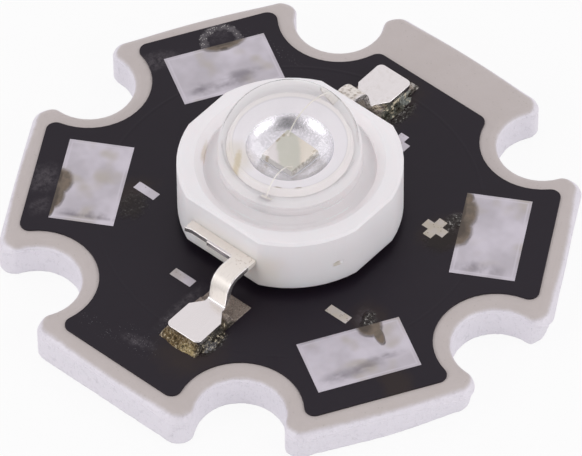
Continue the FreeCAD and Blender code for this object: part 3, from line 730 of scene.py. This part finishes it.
def turned(profile, steps):
    """Spins an outline of (radius, height) points about Z. It starts and ends on the axis."""
    shape = bmesh.new()
    points = [shape.verts.new((radius, 0.0, height)) for radius, height in profile]
    edges = [shape.edges.new(pair) for pair in zip(points, points[1:])]
    bmesh.ops.spin(shape, geom=points + edges, cent=(0, 0, 0), axis=(0, 0, 1), dvec=(0, 0, 0),
                   angle=math.tau, steps=steps, use_merge=True, use_duplicate=False)
    bmesh.ops.remove_doubles(shape, verts=shape.verts, dist=0.0001 * MM)
    bmesh.ops.recalc_face_normals(shape, faces=shape.faces)
    return shape


def arc(centre, radius, start, stop, steps):
    """Points on an arc in the turning outline, from one angle in degrees to another."""
    angles = [math.radians(start + (stop - start) * step / steps) for step in range(steps + 1)]
    return [(centre[0] + radius * math.cos(angle), centre[1] + radius * math.sin(angle)) for angle in angles]


bowl_run = bowl_mouth - bowl_floor
bowl_slope = 2 * math.atan(bowl_depth / bowl_run)
bowl_radius = bowl_run / math.sin(bowl_slope)
bowl_bottom = slug_high.z - bowl_depth
bowl_centre = (bowl_floor, bowl_bottom + bowl_radius)
rim_centre = (post_radius - rim_round, slug_high.z - rim_round)
slug_outline = [(0.0, slug_low.z), (slug_base, slug_low.z)]
slug_outline += [(slug_base, step_height), (post_radius, step_height)]
slug_outline += arc(rim_centre, rim_round, 0, 90, 4)
slug_outline += arc(bowl_centre, bowl_radius, math.degrees(bowl_slope) - 90, -90, 16)
slug_outline.append((0.0, bowl_bottom))

plated = Finish("plated_slug", slug_color, 0.24, 1.0)
on_rim = plated.span(plated.radius(), bowl_mouth - 0.02 * MM, bowl_mouth + 0.02 * MM)
beyond_groove = plated.span(plated.radius(), groove_radius, groove_radius + 0.015 * MM)
painted_groove_shade = plated.span(plated.apart(plated.radius(), groove_radius), 0.024 * MM, 0.010 * MM)
plated.tint(plated.span(plated.noise(0.05 * MM, 3.0, 0.7), 0.45, 0.60), slug_bright_color, 0.8)
# Painted reflection: the rim is white and less metallic where plated metal mirrors the white surroundings.
plated.tint(on_rim, rim_reflection_color)
plated.tint(beyond_groove, rim_outer_reflection_color)
# Painted shade: a dark line stands for the fine groove.
plated.tint(painted_groove_shade, groove_shade_color, 0.35)
# Painted glint: a warm patch and a gold streak, the image of the gold lead tip seen through the lens.
plated.tint(plated.patch((-1.05, 0.95), (0.5, 0.5), 0.0, 0.3, 0.3 * MM, 0.5), lead_glint_warm_color, 0.6)
plated.tint(plated.patch((-1.11, 0.82), (0.36, 0.09), 0.38, 0.4, 0.08 * MM, 0.5), lead_glint_streak_color, 0.75)
for centre, turn in (((-1.25, -0.63), 2.02), ((-0.90, -1.08), 2.42)):
    plated.tint(plated.patch(centre, (0.10, 0.03), turn, 0.6, 0.05 * MM, 0.5), bowl_spot_color, 0.7)
plated.set("Metallic", plated.span(on_rim, 0.0, 1.0, 0.90, 0.20))
plated.set("Roughness", plated.span(on_rim, 0.0, 1.0, 0.25, 0.45))
plated.bump(plated.noise(0.045 * MM, 4.0, 0.7), 0.008 * MM)
fit_piece(turned(slug_outline, 128), "turned_slug", plated, ["heat_slug"], 40.0)


# The chip is a square crystal, whitish at one corner, greenish grey across the middle and cream at
# the opposite corner. It is bonded to the floor of the bowl with a filled adhesive.
chip_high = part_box("led_chip")[1]
chip_half = chip_high.x
chip_color = (0.66, 0.655, 0.575)
chip_pale_color = (0.70, 0.69, 0.62)
chip_white_color = (0.86, 0.81, 0.81)
chip_cream_color = (0.86, 0.79, 0.69)
chip_side_color = (0.84, 0.82, 0.79)
chip_edge_shade_color = (0.30, 0.25, 0.19)
chip_edge_pale_shade_color = (0.60, 0.58, 0.55)
chip_speck_color = (0.42, 0.34, 0.22)

# Brown specks along the chip's edges: place and size.
chip_specks = [
    ((0.30, 0.44), (0.05, 0.035)),
    ((0.12, 0.45), (0.07, 0.025)),
    ((-0.45, 0.32), (0.03, 0.05)),
    ((0.40, -0.40), (0.06, 0.03))]

attach = Finish("die_bond", (0.72, 0.71, 0.73), 0.5)
attach.bump(attach.noise(0.05 * MM, 2.0), 0.003 * MM)
finish_node("die_attach", attach)

chip = Finish("chip_crystal", chip_color, 0.45)
corner_to_corner = chip.axis("X", turn=math.radians(135))
across = chip.math("ADD", corner_to_corner, chip.swing(chip.noise(0.12 * MM, 3.0, 0.6), 0.12 * MM))
chip.tint(chip.span(chip.noise(0.35 * MM, 3.0), 0.35, 0.65), chip_pale_color, 0.6)
chip.tint(chip.span(across, 0.24 * MM, 0.34 * MM), chip_white_color, 0.9)
chip.tint(chip.span(across, -0.16 * MM, -0.30 * MM), chip_cream_color, 0.9)
chip.tint(chip.span(chip.axis("Z"), chip_high.z - 0.01 * MM, chip_high.z - 0.03 * MM), chip_side_color)
# Painted shade: a darker brown line along the lower edge and a grey one along the left edge, broken up by
# noise.
uneven_shade = chip.span(chip.noise(0.07 * MM, 3.0, 0.7), 0.35, 0.6)
shaded_lower_edge = chip.span(chip.axis("Y"), -chip_half + 0.035 * MM, -chip_half + 0.015 * MM)
chip.tint(chip.both(shaded_lower_edge, uneven_shade), chip_edge_shade_color, 0.7)
shaded_left_edge = chip.span(chip.axis("X"), -chip_half + 0.03 * MM, -chip_half + 0.012 * MM)
chip.tint(shaded_left_edge, chip_edge_pale_shade_color, 0.7)
for centre, size in chip_specks:
    chip.tint(chip.patch(centre, size, 0.0, 0.5, 0.05 * MM, 0.4), chip_speck_color, 0.7)
chip.bump(chip.noise(0.05 * MM, 3.0), 0.002 * MM)
finish_node("led_chip", chip)


# The leads are stamped and bent from tinned copper strip. Their shelves sit in the housing's
# wall, and their feet lie on the solder. The strip has fine lines along the necks and bright cut
# edges, and a rough film of flux has dried on the neck on +X.
lead_color = (0.84, 0.815, 0.815)
lead_cream_color = (0.93, 0.885, 0.82)
shelf_color = (0.91, 0.87, 0.83)
line_color = (0.66, 0.61, 0.56)
film_color = (0.42, 0.33, 0.24)
shelf_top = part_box("lead_negative")[1].z
shelf_front = 4.08 * MM
neck_offset = 1.135 * MM
neck_half = 0.40 * MM
neck_start = core_top + 0.52 * MM
neck_full = core_top + 0.75 * MM


def soften(piece, width, segments, angle):
    """Rounds the edges of a piece that are sharper than an angle."""
    bevel = piece.modifiers.new("soften", "BEVEL")
    bevel.width = width
    bevel.segments = segments
    bevel.limit_method = "ANGLE"
    bevel.angle_limit = math.radians(angle)
    bevel.harden_normals = True


tinned = Finish("tinned_lead", lead_color, 0.28, 1.0)
lines = tinned.noise(0.035 * MM, 3.0, 0.6, (9, 1, 9))
raised = tinned.span(tinned.axis("Z"), neck_start, neck_full)
on_shelf = tinned.span(tinned.axis("Z"), shelf_top - 0.05 * MM, shelf_top - 0.02 * MM)
tinned.tint(raised, lead_cream_color)
tinned.tint(on_shelf, shelf_color)
tinned.tint(tinned.both(raised, tinned.span(lines, 0.56, 0.72)), line_color, 0.5)

far_side = tinned.span(tinned.axis("X"), 3.9 * MM, 4.2 * MM)
crusty = tinned.span(tinned.noise(0.16 * MM, 4.0, 0.7), 0.50, 0.64)
film = tinned.both(tinned.both(far_side, crusty), raised)
tinned.tint(film, film_color, 0.75)
near_specks = tinned.patch((-3.95, -1.25), (0.32, 0.45), 0.0, 0.5)
tinned.tint(tinned.both(tinned.crumbs(0.06 * MM, 0.22), near_specks), film_color, 0.7)

out = tinned.math("ABSOLUTE", tinned.axis("X"))
sideways = tinned.math("MULTIPLY", tinned.axis("Y"), tinned.math("SIGN", tinned.axis("X")))
from_neck = tinned.apart(sideways, neck_offset)
at_neck = tinned.span(out, shelf_front - 0.10 * MM, shelf_front)
at_shelf_front = tinned.span(out, shelf_front - 0.13 * MM, shelf_front - 0.09 * MM)
neck_edge = tinned.both(tinned.span(from_neck, neck_half - 0.06 * MM, neck_half - 0.03 * MM), at_neck)
shelf_edge = tinned.both(tinned.span(from_neck, neck_half, neck_half + 0.05 * MM), at_shelf_front)
cut_edge = tinned.both(raised, tinned.math("MAXIMUM", neck_edge, shelf_edge))
tinned.tint(cut_edge, lead_color, 0.8)
cream = tinned.math("SUBTRACT", raised, tinned.both(cut_edge, 0.75))
tinned.set("Metallic", tinned.span(cream, 0.0, 1.0, 1.0, 0.3))
tinned.set("Roughness", tinned.span(cream, 0.0, 1.0, 0.22, 0.40))
tinned.bump(tinned.both(raised, lines), 0.006 * MM)
tinned.bump(tinned.noise(0.12 * MM, 3.0), 0.004 * MM)
tinned.bump(film, 0.03 * MM)
for side in ("negative", "positive"):
    lead_shape = merged_copy(f"lead_{side}")
    lead = fit_piece(lead_shape, f"bent_lead_{side}", tinned, [f"lead_{side}"], 25.0)
    soften(lead, 0.03 * MM, 3, 40.0)


# The housing is moulded from white plastic, round with four flats, and open at the top for the
# lens. It lets a little light in, and has yellowed slightly round the leads.
plastic_color = (0.95, 0.92, 0.94)
plastic_pale_color = (0.955, 0.93, 0.96)
well_light_color = (0.99, 0.945, 0.96)
yellowed_color = (0.86, 0.80, 0.70)
gate_shade_color = (0.52, 0.47, 0.36)
lead_reflection_arc_color = (0.70, 0.62, 0.48)
gate_height = core_top + 1.36 * MM

plastic = Finish("white_moulded_plastic", plastic_color, 0.45)
plastic.set("Subsurface Weight", 0.5)
plastic.set("Subsurface Radius", (0.7, 0.6, 0.6))
plastic.set("Subsurface Scale", 1.0 * MM)
low_down = plastic.span(plastic.axis("Z"), core_top + 2.5 * MM, core_top + 1.6 * MM)
for side in (-1, 1):
    by_lead = plastic.patch((3.7 * side, 0.7 * side), (0.8, 2.0), 0.0, 0.3, 1.0 * MM, 0.5)
    plastic.tint(plastic.both(by_lead, low_down), yellowed_color, 0.8)
plastic.tint(plastic.noise(1.2 * MM, 3.0, 0.5), plastic_pale_color, 0.6)
# Painted light: the inside of the well is lightened, with a slight pink tone, to offset its shade.
plastic.tint(plastic.span(plastic.radius(), 3.42 * MM, 3.30 * MM), well_light_color)
# Painted shade: a brown patch in the dimple of the gate mark.
gate = plastic.patch((-1.70, -3.62), (0.14, 0.12), 0.0, 0.4, 0.1 * MM, 0.5)
at_gate = plastic.span(plastic.apart(plastic.axis("Z"), gate_height), 0.11 * MM, 0.05 * MM)
plastic.tint(plastic.both(gate, at_gate), gate_shade_color, 0.7)
# Painted reflection: a brown arc of the gold lead tip, seen through the lens flange.
painted_lead_reflection = plastic.patch((-1.53, 2.68), (0.42, 0.07), 0.52, 0.4, 0.1 * MM, 0.6)
plastic.tint(painted_lead_reflection, lead_reflection_arc_color, 0.6)
plastic.bump(plastic.noise(0.08 * MM, 3.0), 0.002 * MM)
housing = fit_piece(merged_copy("housing"), "moulded_housing", plastic, ["housing"], 25.0)
soften(housing, 0.05 * MM, 4, 30.0)


# Two gold wires bridge the gap from the chip to the leads. Each starts in a ball and ends in a
# flat stitch.
gold = Finish("gold_wire", (0.93, 0.90, 0.85), 0.5, 1.0)
gold.bump(gold.noise(0.01 * MM, 1.0), 0.0005 * MM)
for name in ("bond_wire_negative", "bond_wire_positive"):
    finish_node(name, gold)


# The lens is a clear moulded dome with a flange, filled with clear gel that hides its inner wall.
# Both are drawn as one clear solid, which reaches a hair into the opaque pieces it wets.
lens_low, lens_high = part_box("lens")
dome_radius = 2.57 * MM
dome_centre = lens_high.z - dome_radius
skirt_blend = 0.14 * MM
flange_radius = 3.02 * MM
flange_top = lens_low.z + 0.35 * MM
flange_foot = lens_low.z
flange_round = 0.15 * MM
wetting = 0.02 * MM
gel_radius = 2.2 * MM
gel_floor = lens_low.z + 0.5 * MM

clear = Finish("clear_lens", (1.0, 1.0, 1.0), 0.0)
clear.set("Transmission Weight", 1.0)
clear.set("IOR", 1.5)
see_through = clear.node("BsdfTransparent", {"Color": (1.0, 1.0, 1.0)}).outputs["BSDF"]
clear.swap_shader(clear.node("LightPath").outputs["Is Shadow Ray"], see_through)

lens_outline = [(0.0, gel_floor), (gel_radius, gel_floor)]
lens_outline += [(gel_radius, flange_foot - wetting), (flange_radius, flange_foot - wetting)]
lens_outline += arc((flange_radius - flange_round, flange_top - flange_round), flange_round, 0, 90, 8)
lens_outline += arc((dome_radius + skirt_blend, flange_top + skirt_blend), skirt_blend, 270, 180, 8)
lens_outline += arc((0.0, dome_centre), dome_radius, 0, 90, 48)
fit_piece(turned(lens_outline, 160), "clear_dome", clear, ["lens", "silicone_gel"], 40.0)


# The studio: a pale floor, two soft lamps left and right of the camera, and even light from all
# round, a little brighter low down in front and dark where the camera stands.
floor_glow = 0.90
floor_shape = bmesh.new()
bmesh.ops.create_grid(floor_shape, x_segments=1, y_segments=1, size=1.5)
bmesh.ops.translate(floor_shape, verts=floor_shape.verts, vec=(0, 0, -0.02 * MM))
floor_finish = Finish("pale_floor", (0.88, 0.88, 0.89), 0.6)
glow = floor_finish.node("Emission", {"Color": (1, 1, 1), "Strength": 1.0}).outputs["Emission"]
ray = floor_finish.node("LightPath").outputs
seen = floor_finish.math("MAXIMUM", ray["Is Camera Ray"], ray["Is Glossy Ray"])
seen = floor_finish.math("MAXIMUM", seen, ray["Is Transmission Ray"])
floor_finish.swap_shader(floor_finish.math("MULTIPLY", seen, floor_glow), glow)
floor_mesh = bpy.data.meshes.new("floor")
floor_shape.to_mesh(floor_mesh)
floor_shape.free()
floor_mesh.materials.append(floor_finish.material)
floor = bpy.data.objects.new("floor", floor_mesh)
scene.collection.objects.link(floor)

camera_azimuth = math.radians(-138.847)
camera_elevation = math.radians(48.453)
camera_distance = 304.476 * MM
camera_roll = math.radians(-0.611)
aim = Vector((-0.651 * MM, -0.579 * MM, 1.53 * MM))


def direction(azimuth, elevation):
    """The way from the board to a place seen from it at an azimuth and an elevation."""
    return Vector((math.cos(elevation) * math.cos(azimuth), math.cos(elevation) * math.sin(azimuth),
                   math.sin(elevation)))


back = direction(camera_azimuth, camera_elevation)
level = Vector((0, 0, 1)).cross(back).normalized()
upright = back.cross(level)
right = level * math.cos(camera_roll) + upright * math.sin(camera_roll)
above = upright * math.cos(camera_roll) - level * math.sin(camera_roll)
view = bpy.data.cameras.new("camera")
view.lens = 533.4
view.sensor_width = 36.0
view.clip_start = 0.01
view.clip_end = 10.0
camera = bpy.data.objects.new("camera", view)
camera_turn = Matrix((right, above, back)).transposed().to_4x4()
camera.matrix_world = Matrix.Translation(aim + back * camera_distance) @ camera_turn
scene.collection.objects.link(camera)
scene.camera = camera

lamp_distance = 300 * MM
lamp_width = 150 * MM
lamp_height = 90 * MM
lamp_elevation = math.radians(32.0)
lamp_aside = math.radians(62.0)
lamp_power = 0.11


def soft_lamp(name, azimuth):
    light = bpy.data.lights.new(name, "AREA")
    light.shape = "RECTANGLE"
    light.size = lamp_width
    light.size_y = lamp_height
    light.energy = lamp_power
    lamp = bpy.data.objects.new(name, light)
    way = direction(azimuth, lamp_elevation)
    lamp.location = way * lamp_distance
    lamp.rotation_euler = way.to_track_quat("Z", "Y").to_euler()
    scene.collection.objects.link(lamp)


soft_lamp("left_lamp", camera_azimuth - lamp_aside)
soft_lamp("right_lamp", camera_azimuth + lamp_aside)

world = bpy.data.worlds.new("studio")
scene.world = world
world.use_nodes = True
sky = Nodes(world.node_tree)
background = sky.tree.nodes["Background"]
base_level = 0.86
front_level = 1.08
dark_share = 0.06


def towards(way, low, high, out_low=0.0, out_high=1.0):
    """A level that eases from out_low to out_high as a ray turns towards a way."""
    ray_way = sky.node("TexCoord").outputs["Generated"]
    share = sky.node("VectorMath", {0: ray_way, 1: way}, operation="DOT_PRODUCT").outputs["Value"]
    return sky.span(share, low, high, out_low, out_high)


front = Vector((math.cos(camera_azimuth), math.sin(camera_azimuth), 0.1)).normalized()
behind_camera = Vector((0.574 * math.cos(camera_azimuth), 0.574 * math.sin(camera_azimuth), 0.819))
brighter = towards(front, 0.35, 0.9, base_level, front_level)
aside = sky.both(towards(level, -0.46, -0.30), towards(level, 0.30, 0.46, 1.0, 0.0))
dark_place = sky.both(towards(behind_camera, 0.79, 0.89), aside)
darker = sky.node("MapRange", {"Value": dark_place, "To Min": 1.0, "To Max": dark_share}).outputs["Result"]
sky.feed(background.inputs["Strength"], sky.both(brighter, darker))
sky.feed(background.inputs["Color"], (1.0, 0.965, 0.99))

scene.view_settings.view_transform = "Standard"
